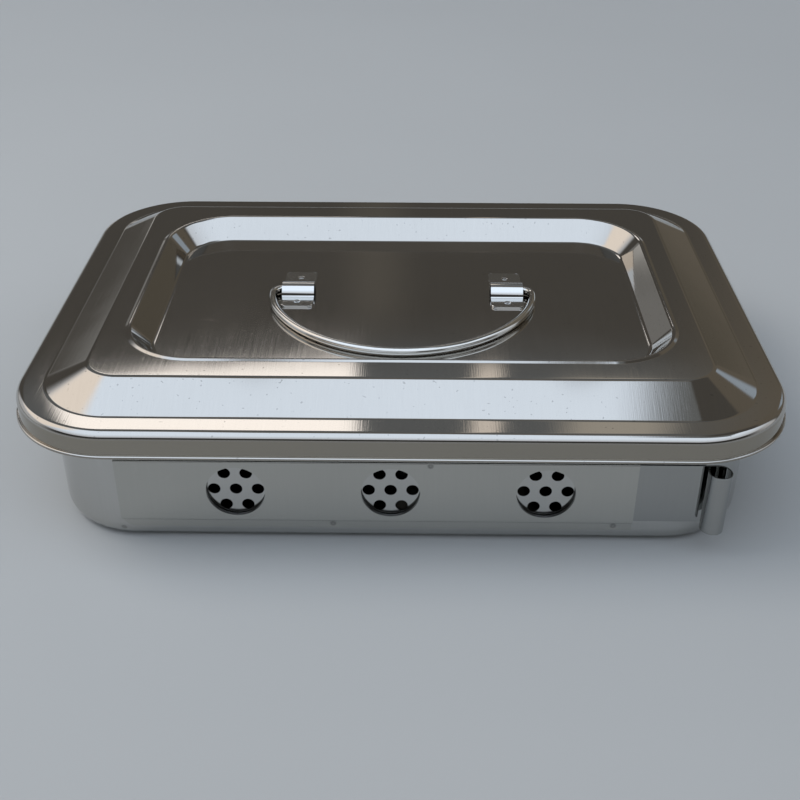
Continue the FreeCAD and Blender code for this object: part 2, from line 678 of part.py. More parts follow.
# Handle: one wire from pin to pin, with tangent bends and one wide front arc
def make_handle():
    body = new_body("bail_handle")
    bracket_side = "(Sizes.bracket_spacing / 2 + Sizes.bracket_width / 2)"
    half_span = f"({bracket_side} + Sizes.bail_side_gap + {WIRE_RADIUS})"
    pin_end = f"({bracket_side} - Sizes.bracket_width + Sizes.pin_setback)"
    hinge = "Sizes.hinge_offset"
    bend = "Sizes.bail_end_bend"
    side = "Sizes.bail_side_radius"
    front = f"({hinge} - Sizes.bail_depth)"
    side_y = f"({hinge} - {bend})"

    # The front arc touches both side arcs and the foremost point: its radius follows from the two.
    side_x = number(half_span) - number(side)
    drop = number(side_y) - number(front)
    side_radius = number(side)
    front_radius = (side_x ** 2 + drop ** 2 - side_radius ** 2) / (2 * (drop - side_radius))
    front_centre = Vector(0, number(front) + front_radius, 0)
    meeting = math.degrees(math.atan2(front_centre.y - number(side_y), side_x))

    path = new_sketch(body, "bail_path", "XY_Plane", HINGE_HEIGHT)
    front_arc = add_arc(path, front_centre, front_radius, 180 + meeting, 360 - meeting)
    for way in (-1, 1):
        side_centre = Vector(way * side_x, number(side_y), 0)
        angles = (180, 180 + meeting) if way < 0 else (360 - meeting, 360)
        side_arc = add_arc(path, side_centre, side_radius, *angles)
        bend_centre = Vector(way * (number(half_span) - number(bend)), number(side_y), 0)
        angles = (90, 180) if way < 0 else (0, 90)
        bend_arc = add_arc(path, bend_centre, number(bend), *angles)
        pin_tip = Vector(way * number(pin_end), number(hinge), 0)
        top_point = Spot.START if way < 0 else Spot.END
        low_point = Spot.END if way < 0 else Spot.START
        pin = path.addGeometry(Part.LineSegment(path.getPoint(bend_arc, top_point), pin_tip), False)
        front_point = Spot.START if way < 0 else Spot.END
        path.addConstraint(Sketcher.Constraint("Tangent", front_arc, front_point, side_arc, low_point))
        path.addConstraint(Sketcher.Constraint("Tangent", side_arc, top_point, bend_arc, low_point))
        path.addConstraint(Sketcher.Constraint("Tangent", bend_arc, top_point, pin, Spot.START))
        path.addConstraint(Sketcher.Constraint("Horizontal", pin))
        dimension(path, Sketcher.Constraint("Radius", side_arc, side_radius), side)
        dimension(path, Sketcher.Constraint("Radius", bend_arc, number(bend)), bend)
        place_point(path, pin, Spot.END, f"({way} * {pin_end})", hinge)
        place_point(path, bend_arc, low_point, f"({way} * {half_span})", side_y)
    lowest = path.addGeometry(Part.Point(Vector(0, number(front), 0)), True)
    path.addConstraint(Sketcher.Constraint("PointOnObject", lowest, Spot.START, front_arc))
    place_point(path, lowest, Spot.START, "0", front)

    section = new_sketch(body, "wire_section", "YZ_Plane", f"(-{pin_end})")
    add_circle(section, hinge, HINGE_HEIGHT, WIRE_RADIUS)
    doc.recompute()
    wire = pipe(body, "bail_wire", section, path)
    drawn = math.pi * number(WIRE_RADIUS) ** 2 * path.Shape.Length
    if abs(wire.Shape.Volume / drawn - 1) > 0.01:
        raise RuntimeError("the handle's wire isn't as thick as its section")
    return body


PIECES = (
    make_tray(),
    make_guide("front_guide", False),
    make_guide("rear_guide", True),
    make_shutter("front_shutter", False),
    make_shutter("rear_shutter", True),
    make_lid(),
    make_bracket("left_bracket", -1),
    make_bracket("right_bracket", 1),
    make_handle(),
)

doc.recompute()
for item in doc.Objects:
    if "Invalid" in item.State or "Error" in item.State:
        raise RuntimeError(f"{item.Label} did not compute")
for piece in PIECES:
    if piece.Shape.isNull() or not piece.Shape.isValid() or len(piece.Shape.Solids) != 1:
        raise RuntimeError(f"{piece.Label} is not one valid solid")

os.makedirs("parts", exist_ok=True)
for piece in PIECES:
    piece.Shape.exportStep(f"parts/{piece.Label}.step")
    box = piece.Shape.BoundBox
    print(f"{piece.Label}: {piece.Shape.Volume:.0f} mm3, z {box.ZMin:.2f} to {box.ZMax:.2f}")
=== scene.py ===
"""A steel instrument tray with sliding vent shutters and a stamped lid, dressed and set in a small studio.

Lengths in the dataclasses are millimetres in the part's own frame: X to the right, Y to the rear, Z up, with
the origin under the middle of the tray.
"""

from __future__ import annotations

import logging
import math
from dataclasses import dataclass
from enum import Enum

import bpy
import numpy as np
from mathutils import Matrix, Vector


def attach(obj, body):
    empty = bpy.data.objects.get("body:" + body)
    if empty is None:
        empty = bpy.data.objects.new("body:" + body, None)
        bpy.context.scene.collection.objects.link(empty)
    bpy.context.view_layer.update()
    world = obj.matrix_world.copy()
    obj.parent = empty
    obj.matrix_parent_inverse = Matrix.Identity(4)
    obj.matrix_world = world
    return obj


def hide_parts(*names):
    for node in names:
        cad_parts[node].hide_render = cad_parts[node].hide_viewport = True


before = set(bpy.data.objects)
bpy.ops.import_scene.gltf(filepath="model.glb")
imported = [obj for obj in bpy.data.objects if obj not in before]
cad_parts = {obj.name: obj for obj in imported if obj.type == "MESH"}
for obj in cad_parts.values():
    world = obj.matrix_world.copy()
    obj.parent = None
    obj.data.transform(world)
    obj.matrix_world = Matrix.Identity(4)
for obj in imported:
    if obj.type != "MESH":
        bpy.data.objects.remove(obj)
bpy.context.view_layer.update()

MM = 0.001
DEGREES = 180 / math.pi

# Distances in metres within which points are merged, and spans in the arcs of bends, the border and beads.
MERGE_POINTS, MERGE_FACETS = 1e-6, 2e-6
BEND_STEPS, BORDER_STEPS, BEAD_STEPS = 8, 12, 22

log = logging.getLogger("tray")
logging.basicConfig(level=logging.INFO, format="%(message)s")

Point = tuple[float, float, float]
Colour = tuple[float, float, float]


# ---------------------------------------------------------------- shader graphs


class Signal:
    """A number that changes over a surface, held as one output socket.

    Python's operators on it add Math nodes to the same graph.
    """

    def __init__(self, graph: Graph, socket: bpy.types.NodeSocket) -> None:
        """Keep the graph and the socket."""
        self.graph = graph
        self.socket = socket

    def math(self, operation: str, *others: Signal | float) -> Signal:
        """One Math node on this signal.

        Args:
            operation: Name of the Math node's operation.
            others: The further operands.

        Returns:
            The result as a signal.
        """
        return self.graph.add("ShaderNodeMath", {"operation": operation}, [self, *others])

    def swapped(self, operation: str, first: float) -> Signal:
        """The same with a plain number as the first operand."""
        return self.graph.add("ShaderNodeMath", {"operation": operation}, [first, self])

    def __add__(self, other: Signal | float) -> Signal:
        """Sum."""
        return self.math("ADD", other)

    def __radd__(self, other: float) -> Signal:
        """Sum with a number on the left."""
        return self.math("ADD", other)

    def __sub__(self, other: Signal | float) -> Signal:
        """Difference."""
        return self.math("SUBTRACT", other)

    def __rsub__(self, other: float) -> Signal:
        """Difference with a number on the left."""
        return self.swapped("SUBTRACT", other)

    def __mul__(self, other: Signal | float) -> Signal:
        """Product."""
        return self.math("MULTIPLY", other)

    def __rmul__(self, other: float) -> Signal:
        """Product with a number on the left."""
        return self.math("MULTIPLY", other)

    def ramp(self, low: float, high: float, start: float = 0.0, end: float = 1.0) -> Signal:
        """A smooth step.

        Args:
            low: Where the step begins.
            high: Where it ends; below low it runs the other way.
            start: Value before the step.
            end: Value after it.

        Returns:
            start + (end - start) * t * t * (3 - 2 t), with t the signal's share of the way from low to high.
        """
        if low > high:
            low, high, start, end = high, low, end, start
        settings = {"interpolation_type": "SMOOTHSTEP", "clamp": True}
        sockets = {"Value": self, "From Min": low, "From Max": high, "To Min": start, "To Max": end}
        return self.graph.add("ShaderNodeMapRange", settings, sockets)

    def between(self, low: float, high: float, soft: float) -> Signal:
        """1 between two values and 0 outside, with soft edges of the given width."""
        return self.ramp(low - soft, low + soft) * self.ramp(high + soft, high - soft)


class Graph:
    """The nodes of one material or world."""

    def __init__(self, owner: bpy.types.Material | bpy.types.World) -> None:
        """Switch the owner to nodes and empty its tree.

        Args:
            owner: The material or world that the nodes are made in.
        """
        owner.use_nodes = True
        self.tree = owner.node_tree
        self.tree.nodes.clear()

    def node(self, kind: str, settings: dict, sockets: dict | list) -> bpy.types.Node:
        """One node of any type.

        Args:
            kind: The node's type name.
            settings: Attributes, set before the sockets.
            sockets: Values or signals by input name or in the inputs' order.

        Returns:
            The node.
        """
        made = self.tree.nodes.new(kind)
        for name, value in settings.items():
            setattr(made, name, value)
        pairs = sockets.items() if isinstance(sockets, dict) else enumerate(sockets)
        for key, value in pairs:
            if isinstance(value, Signal):
                self.tree.links.new(value.socket, made.inputs[key])
            else:
                made.inputs[key].default_value = value
        return made

    def add(self, kind: str, settings: dict, sockets: dict | list, output: str | int = 0) -> Signal:
        """One node of any type, as the signal of one of its outputs."""
        return Signal(self, self.node(kind, settings, sockets).outputs[output])

    def places(self) -> Signal:
        """Object coordinates, in metres in the part's frame."""
        return self.add("ShaderNodeTexCoord", {}, {}, "Object")

    def split(self, vector: Signal) -> tuple[Signal, Signal, Signal]:
        """The three numbers of a vector."""
        parts = self.node("ShaderNodeSeparateXYZ", {}, [vector])
        return Signal(self, parts.outputs[0]), Signal(self, parts.outputs[1]), Signal(self, parts.outputs[2])

    def noise(self, vector: Signal, scale: Point, detail: float = 2.0, shift: float = 0.0) -> Signal:
        """Noise stretched by its own scale along each axis.

        Args:
            vector: Coordinates in metres.
            scale: Features per metre along each axis.
            detail: Octaves.
            shift: Offset, to tell patterns apart.

        Returns:
            A signal from 0 to 1 around 0.5.
        """
        mapped = self.add("ShaderNodeMapping", {}, {0: vector, "Location": (shift,) * 3, "Scale": scale})
        return self.add("ShaderNodeTexNoise", {}, {"Vector": mapped, "Scale": 1.0, "Detail": detail}, "Fac")

    def mix(self, factor: Signal | float, first: Colour | Signal, second: Colour | Signal) -> Signal:
        """A colour between two, by a factor."""
        ends = [c if isinstance(c, Signal) else (*c, 1.0) for c in (first, second)]
        return self.add("ShaderNodeMix", {"data_type": "RGBA"}, {0: factor, 6: ends[0], 7: ends[1]}, 2)

    def near(self, vector: Signal, point: Point, inner: float, outer: float) -> Signal:
        """1 close to a point, falling to 0 further off.

        Args:
            vector: Coordinates in metres.
            point: The point in millimetres.
            inner: Distance in millimetres up to which it is 1.
            outer: Distance in millimetres from which it is 0.

        Returns:
            A signal from 0 to 1.
        """
        place = tuple(v * MM for v in point)
        far = self.add("ShaderNodeVectorMath", {"operation": "DISTANCE"}, [vector, place], "Value")
        return far.ramp(outer * MM, inner * MM)


# ---------------------------------------------------------------- finishes


class Grain(Enum):
    """Which way the fine lines of a finish run, as features per metre along X, Y and Z."""

    FRONT_TO_BACK = (2600.0, 40.0, 300.0)
    UPRIGHT = (2200.0, 900.0, 45.0)
    LENGTHWISE = (30.0, 1100.0, 1100.0)
    NONE = (900.0, 900.0, 900.0)


# Shares of each pattern in the steel's tone, roughness and height.
FINE_TONE, BROAD_TONE, CLOUD_TONE = 1.6, 0.5, 0.08
FINE_ROUGHNESS, CLOUD_ROUGHNESS = 0.9, 0.8
SPECK_ROUGHNESS, EDGE_ROUGHNESS = 0.2, 0.35
SCRATCH_TONE, SCRATCH_ROUGHNESS, SCRATCH_DEPTH = 0.06, 0.05, 0.0008
MARK_TONE, MARK_ROUGHNESS, MARK_DEPTH = 0.7, 0.08, 0.2
# Share of the painted shade and reflection that darkens and browns the steep faces.
STEEP_SHADE_SHARE = 0.8

# Limits: darkest and lightest colour as shares of the finish's own, smoothest and roughest steel.
DARKEST, LIGHTEST = 0.6, 1.4
SMOOTHEST, ROUGHEST = 0.02, 0.9

# Where things begin and end: noises and normals as plain numbers, places in millimetres.
BROAD_SCALE, CLOUD_SCALE, SPECK_SCALE = 0.16, (22.0, 22.0, 22.0), (800.0, 800.0, 800.0)
BROAD_SHIFT, CLOUD_SHIFT, WAVE_SHIFT, SPECK_SHIFT = 3.7, 9.1, 5.3, 2.2
SPECK_LEVEL = (0.78, 0.83)
SCRATCH_WIDTH, SCRATCH_GAPS = 0.006, (0.55, 0.66)
SCRATCH_SCALES, SCRATCH_SHIFTS = ((16.0, 95.0, 60.0), (110.0, 22.0, 60.0), (34.0, 34.0, 34.0)), (11.0, 14.0, 17.0)
# Normal ranges that pick out the steep faces and the cut edges for their painted shade.
STEEP_SHADE_NORMAL, EDGE_NORMAL = (0.45, 0.15), (0.5, 0.2)
# Where the painted shade on the cut edges stops: at the strip's front face and at its top.
STRIP_FRONT, STRIP_TOP = (95.0, 94.96), (40.9, 40.5)
DENT, DENT_MIDDLE, DENT_LIFT = (0.5, 1.5), (0.1, 0.7), 0.6


@dataclass(frozen=True)
class SteelFinish:
    """Stainless steel sheet or wire.

    The base colour wanders a little with the grain and in soft clouds, the roughness follows the same grain,
    and the bump adds grain, a slow unevenness of the sheet, scattered scratches and weld marks. The edge shade
    tone is painted shade: the dark grey of a strip's dull cut edges, for the dark gap seen through its windows.
    The steep face shade is painted shade and reflection: a darker brown on the steep faces.
    """

    name: str
    colour: Colour
    rough: float
    grain: Grain
    grain_depth: float = 0.004
    wave: float = 0.02
    wave_scale: float = 45.0
    streaks: float = 0.05
    scratches: float = 0.4
    pits: float = 0.0
    marks: tuple[Point, ...] = ()
    # Painted shade: the dark grey of the cut edges, for the dark gap behind the windows, or None.
    edge_shade_tone: float | None = None
    # Painted shade and reflection: a darker brown for the steep faces, or None.
    steep_face_shade: Colour | None = None

    def material(self) -> bpy.types.Material:
        """The finish as a node material.

        Returns:
            The material.
        """
        made = bpy.data.materials.new(self.name)
        graph = Graph(made)
        here = graph.places()
        fine = graph.noise(here, self.grain.value, 3.0)
        broad = graph.noise(here, tuple(v * BROAD_SCALE for v in self.grain.value), 2.0, BROAD_SHIFT)
        clouds = graph.noise(here, CLOUD_SCALE, 3.0, CLOUD_SHIFT)
        waves = graph.noise(here, (self.wave_scale,) * 3, 1.0, WAVE_SHIFT)
        lines = self.scratch_lines(graph, here)
        specks = graph.noise(here, SPECK_SCALE, 0.0, SPECK_SHIFT).ramp(*SPECK_LEVEL)

        tone = (fine - 0.5) * self.streaks * FINE_TONE + (broad - 0.5) * self.streaks * BROAD_TONE
        tone = tone + (clouds - 0.5) * CLOUD_TONE
        tone = tone - specks * self.pits + lines * self.scratches * SCRATCH_TONE
        marks = self.weld_marks(graph, here)
        if marks is not None:
            tone = tone - marks * MARK_TONE
        dark = tuple(v * DARKEST for v in self.colour)
        light = tuple(min(1.0, v * LIGHTEST) for v in self.colour)
        base = graph.mix((tone + 0.5).math("MAXIMUM", 0.0).math("MINIMUM", 1.0), dark, light)

        # Painted shade and reflection: faces whose normal lies near level turn a darker brown.
        if self.steep_face_shade is not None:
            flat = graph.add("ShaderNodeNewGeometry", {}, {}, "True Normal")
            steep = graph.split(flat)[2].math("ABSOLUTE").ramp(*STEEP_SHADE_NORMAL) * STEEP_SHADE_SHARE
            base = graph.mix(steep, base, self.steep_face_shade)
        # Painted shade: the cut edges turn dark grey to near black, for the dark gap seen through the windows; being
        # dull, they are also rougher.
        cut = self.shaded_cut_edges(graph, here)
        if cut is not None:
            base = graph.mix(cut, base, (self.edge_shade_tone,) * 3)
        rough = (fine - 0.5) * self.rough * FINE_ROUGHNESS + (clouds - 0.5) * self.rough * CLOUD_ROUGHNESS
        rough = rough + self.rough + lines * self.scratches * SCRATCH_ROUGHNESS
        rough = rough + specks * self.pits * SPECK_ROUGHNESS
        height = (fine - 0.5) * self.grain_depth + waves * self.wave
        height = height - lines * self.scratches * SCRATCH_DEPTH
        if marks is not None:
            height = height - marks * MARK_DEPTH
            rough = rough + marks * MARK_ROUGHNESS
        if cut is not None:
            rough = rough + cut * EDGE_ROUGHNESS
        bump = graph.add("ShaderNodeBump", {}, {"Height": height, "Strength": 1.0, "Distance": MM})
        sockets = {
            "Base Color": base, "Metallic": 1.0, "Normal": bump,
            "Roughness": rough.math("MAXIMUM", SMOOTHEST).math("MINIMUM", ROUGHEST),
        }
        shader = graph.add("ShaderNodeBsdfPrincipled", {}, sockets, "BSDF")
        graph.node("ShaderNodeOutputMaterial", {}, {"Surface": shader})
        return made

    def scratch_lines(self, graph: Graph, here: Signal) -> Signal:
        """Thin lines: where two stretched noises cross the middle of their range.

        Args:
            graph: The material's graph.
            here: Object coordinates.

        Returns:
            A signal from 0 to about 1 on the lines.
        """
        first = graph.noise(here, SCRATCH_SCALES[0], 1.0, SCRATCH_SHIFTS[0]) - 0.5
        second = graph.noise(here, SCRATCH_SCALES[1], 1.0, SCRATCH_SHIFTS[1]) - 0.5
        gaps = graph.noise(here, SCRATCH_SCALES[2], 1.0, SCRATCH_SHIFTS[2]).ramp(*SCRATCH_GAPS)
        thin = first.math("ABSOLUTE").ramp(SCRATCH_WIDTH, 0.0) + second.math("ABSOLUTE").ramp(SCRATCH_WIDTH, 0.0)
        return thin * gaps

    def shaded_cut_edges(self, graph: Graph, here: Signal) -> Signal | None:
        """The dull cut edges of a standing strip, which face along it instead of to the front or rear: the mask of
        their painted shade.

        Args:
            graph: The material's graph.
            here: Object coordinates.

        Returns:
            1 on those edges below the strip's top, or None for a finish without painted edge shade.
        """
        if self.edge_shade_tone is None:
            return None
        flat = graph.add("ShaderNodeNewGeometry", {}, {}, "True Normal")
        across = graph.split(flat)[1].math("ABSOLUTE")
        _, y, z = graph.split(here)
        behind = y.math("ABSOLUTE").ramp(*(v * MM for v in STRIP_FRONT))
        return across.ramp(*EDGE_NORMAL) * behind * z.ramp(*(v * MM for v in STRIP_TOP))

    def weld_marks(self, graph: Graph, here: Signal) -> Signal | None:
        """Shallow ring-shaped dents at the weld marks.

        Args:
            graph: The material's graph.
            here: Object coordinates.

        Returns:
            The dents' depth as a share, or None for a finish without marks.
        """
        total = None
        for point in self.marks:
            dent = graph.near(here, point, *DENT) - graph.near(here, point, *DENT_MIDDLE) * DENT_LIFT
            total = dent if total is None else total + dent
        return total


@dataclass(frozen=True)
class FloorFinish:
    """Matt pale floor with a trace of mottling."""

    name: str = "studio_floor"
    colour: Colour = (0.430, 0.438, 0.436)

    def material(self) -> bpy.types.Material:
        """The floor's node material.

        Returns:
            The material.
        """
        made = bpy.data.materials.new(self.name)
        graph = Graph(made)
        clouds = graph.noise(graph.places(), (3.0, 3.0, 3.0), 2.0)
        dark = tuple(v * 0.96 for v in self.colour)
        light = tuple(v * 1.04 for v in self.colour)
        base = graph.mix(clouds, dark, light)
        sockets = {"Base Color": base, "Roughness": 0.75, "Specular IOR Level": 0.2}
        shader = graph.add("ShaderNodeBsdfPrincipled", {}, sockets, "BSDF")
        graph.node("ShaderNodeOutputMaterial", {}, {"Surface": shader})
        return made


TRAY_STEEL = SteelFinish(
    "drawn_tray_steel", (0.52, 0.515, 0.495), 0.09, Grain.UPRIGHT, wave=0.03,
    marks=((-103.0, -92.8, 5.3), (103.0, 92.8, 5.3)),
)
# The lid's steep faces, such as the skirt, get a painted darker brown shade and reflection.
LID_STEEL = SteelFinish(
    "stamped_lid_steel", (0.51, 0.495, 0.47), 0.058, Grain.FRONT_TO_BACK, grain_depth=0.0035, wave=0.035,
    wave_scale=38.0, scratches=0.5, pits=0.25, steep_face_shade=(0.312, 0.279, 0.224),
)
FRONT_MARKS = (
    (-24.4, -93.6, 8.8), (79.4, -93.6, 8.8), (-60.0, -93.6, 39.4), (11.4, -94.9, 36.2), (79.4, -93.6, 39.4),
)
GUIDE_MARKS = FRONT_MARKS + tuple((-x, -y, z) for x, y, z in FRONT_MARKS)
# Painted shade: dark grey on the guide's cut edges.
GUIDE_STEEL = SteelFinish(
    "bright_guide_steel", (0.47, 0.465, 0.435), 0.05, Grain.UPRIGHT, streaks=0.04, marks=GUIDE_MARKS,
    edge_shade_tone=0.12,
)
# Painted shade: near black on the shutter's cut edges.
SHUTTER_STEEL = SteelFinish(
    "bright_shutter_steel", (0.37, 0.373, 0.362), 0.05, Grain.UPRIGHT, wave=0.015, streaks=0.04, edge_shade_tone=0.02,
)
BRACKET_MARKS = ((-43.8, -4.5, 55.1), (43.8, -4.5, 55.1), (-43.8, 17.5, 55.1), (43.8, 17.5, 55.1))
BRACKET_STEEL = SteelFinish(
    "bent_bracket_steel", (0.66, 0.66, 0.65), 0.07, Grain.LENGTHWISE, wave=0.01, marks=BRACKET_MARKS,
)
WIRE_STEEL = SteelFinish("bright_wire_steel", (0.66, 0.65, 0.62), 0.11, Grain.NONE, wave=0.01, grain_depth=0.002)


# ---------------------------------------------------------------- surfaces


def filleted(corners: np.ndarray, radii: np.ndarray, steps: int) -> tuple[np.ndarray, np.ndarray]:
    """A polyline whose corners are rounded by tangent arcs, with its normals.

    Each corner's arc starts r * tan(turn / 2) before it. A point on the arc is the centre plus the radius arm
    turned by a share of the turn from 0 to 1. The normals point to the left of the way the line runs.

    Args:
        corners: Points of the polyline, one row each, first and last included.
        radii: One radius for each inner corner.
        steps: Spans in each arc.

    Returns:
        Points and unit normals, one row each.
    """
    runs = np.diff(corners, axis=0)
    ways = runs / np.linalg.norm(runs, axis=1)[:, None]
    before, after = ways[:-1], ways[1:]
    turns = np.arctan2(before[:, 0] * after[:, 1] - before[:, 1] * after[:, 0], (before * after).sum(1))
    side = np.sign(turns)[:, None]
    left = np.stack([-before[:, 1], before[:, 0]], 1)
    starts = corners[1:-1] - before * (radii * np.tan(np.abs(turns) / 2))[:, None]
    centres = starts + left * side * radii[:, None]
    shares = np.linspace(0.0, 1.0, steps + 1)
    angles = turns[:, None] * shares[None]
    cos, sin = np.cos(angles), np.sin(angles)
    arm = (starts - centres)[:, None, :]
    arcs = centres[:, None, :] + np.stack(
        [arm[..., 0] * cos - arm[..., 1] * sin, arm[..., 0] * sin + arm[..., 1] * cos], -1
    )
    across = left[:, None, :]
    normals = np.stack(
        [across[..., 0] * cos - across[..., 1] * sin, across[..., 0] * sin + across[..., 1] * cos], -1
    )
    ends = np.stack([-ways[[0, -1], 1], ways[[0, -1], 0]], 1)
    points = np.vstack([corners[:1], arcs.reshape(-1, 2), corners[-1:]])
    return points, np.vstack([ends[:1], normals.reshape(-1, 2), ends[1:]])


def rounded_sweep(centres: np.ndarray, profile: np.ndarray, steps: int) -> np.ndarray:
    """A profile carried round a rectangle with rounded corners.

    At each of the four corners the point is (+-cx + r cos a, +-cy + r sin a, z), with a from the corner's first
    to its last quarter turn; the straight sides are the spans between corners.

    Args:
        centres: Corner centre (cx, cy) for each profile point.
        profile: (r, z) for each profile point.
        steps: Spans in each corner.

    Returns:
        A grid of points, profile points by places round the rectangle.
    """
    quarter = np.linspace(0.0, math.pi / 2, steps + 1)
    angles = (np.arange(4)[:, None] * math.pi / 2 + quarter[None]).ravel()
    sign_x = np.repeat([1.0, -1.0, -1.0, 1.0], steps + 1)
    sign_y = np.repeat([1.0, 1.0, -1.0, -1.0], steps + 1)
    x = sign_x[None] * centres[:, :1] + profile[:, :1] * np.cos(angles)[None]
    y = sign_y[None] * centres[:, 1:] + profile[:, :1] * np.sin(angles)[None]
    z = np.repeat(profile[:, 1:], len(angles), axis=1)
    return np.stack([x, y, z], -1)


def tube_grid(path: np.ndarray, ways: np.ndarray, radius: float, sides: int) -> np.ndarray:
    """A round tube along a flat path: path point + r (cos a * left + sin a * up), a once round.

    Args:
        path: Points, one row each.
        ways: Unit directions along the path.
        radius: The tube's radius.
        sides: Places round the tube.

    Returns:
        A grid of points, path points by places round the tube.
    """
    angles = np.arange(sides) * 2 * math.pi / sides
    left = np.stack([-ways[:, 1], ways[:, 0], np.zeros(len(ways))], 1)
    up = np.array([0.0, 0.0, 1.0])
    ring = np.cos(angles)[None, :, None] * left[:, None, :] + np.sin(angles)[None, :, None] * up
    return path[:, None, :] + radius * ring


def grid_faces(rows: int, columns: int) -> np.ndarray:
    """Quads of a grid that closes on itself along its columns.

    Args:
        rows: Points along the profile or path.
        columns: Points once round.

    Returns:
        Four point numbers for each quad: (i, j), (i, j + 1), (i + 1, j + 1) and (i + 1, j).
    """
    i, j = np.meshgrid(np.arange(rows - 1), np.arange(columns), indexing="ij")
    nxt = (j + 1) % columns
    quads = np.stack([i * columns + j, i * columns + nxt, (i + 1) * columns + nxt, (i + 1) * columns + j], -1)
    return quads.reshape(-1, 4)


def mesh_object(name: str, grid: np.ndarray) -> bpy.types.Object:
    """A smooth mesh object from a closed grid in millimetres, with coincident points merged.

    Args:
        name: Name of the object.
        grid: Rows by columns of points.

    Returns:
        The object, linked to the scene.
    """
    rows, columns = grid.shape[:2]
    faces = grid_faces(rows, columns)
    mesh = bpy.data.meshes.new(name)
    mesh.from_pydata((grid.reshape(-1, 3) * MM).tolist(), [], faces.tolist())
    made = bpy.data.objects.new(name, mesh)
    bpy.context.scene.collection.objects.link(made)
    weld = made.modifiers.new("close", "WELD")
    weld.merge_threshold = MERGE_POINTS
    bake_modifiers(made)
    made.data.shade_smooth()
    return made


def bake_modifiers(made: bpy.types.Object) -> None:
    """Apply every modifier of an object to its mesh.

    Args:
        made: The object.
    """
    graph = bpy.context.evaluated_depsgraph_get()
    mesh = bpy.data.meshes.new_from_object(made.evaluated_get(graph))
    made.modifiers.clear()
    old, made.data = made.data, mesh
    bpy.data.meshes.remove(old)


def even_shading(made: bpy.types.Object, crease: float | None = None, ease: float = 0.0) -> None:
    """Shade large faces flat and let the bends between them carry the turn.

    Args:
        made: The object.
        crease: Angle in degrees above which an edge stays sharp, or None.
        ease: Width in millimetres of the fine chamfer on sharp edges, or 0 for none.
    """
    if crease is not None and ease:
        weld = made.modifiers.new("join_facets", "WELD")
        weld.merge_threshold = MERGE_FACETS
        chamfer = made.modifiers.new("eased_edges", "BEVEL")
        chamfer.limit_method, chamfer.angle_limit = "ANGLE", math.radians(crease)
        chamfer.width, chamfer.segments = ease * MM, 2
    elif crease is not None:
        made.data.set_sharp_from_angle(angle=math.radians(crease))
    weights = made.modifiers.new("even_shading", "WEIGHTED_NORMAL")
    weights.weight = 100
    weights.keep_sharp = crease is not None and not ease


def dress(made: bpy.types.Object, finish: bpy.types.Material) -> None:
    """Give every material slot of an object one finish.

    Args:
        made: The object.
        finish: The material.
    """
    if not made.material_slots:
        made.data.materials.append(finish)
    for place in made.material_slots:
        place.link = "OBJECT"
        place.material = finish


# ---------------------------------------------------------------- the object


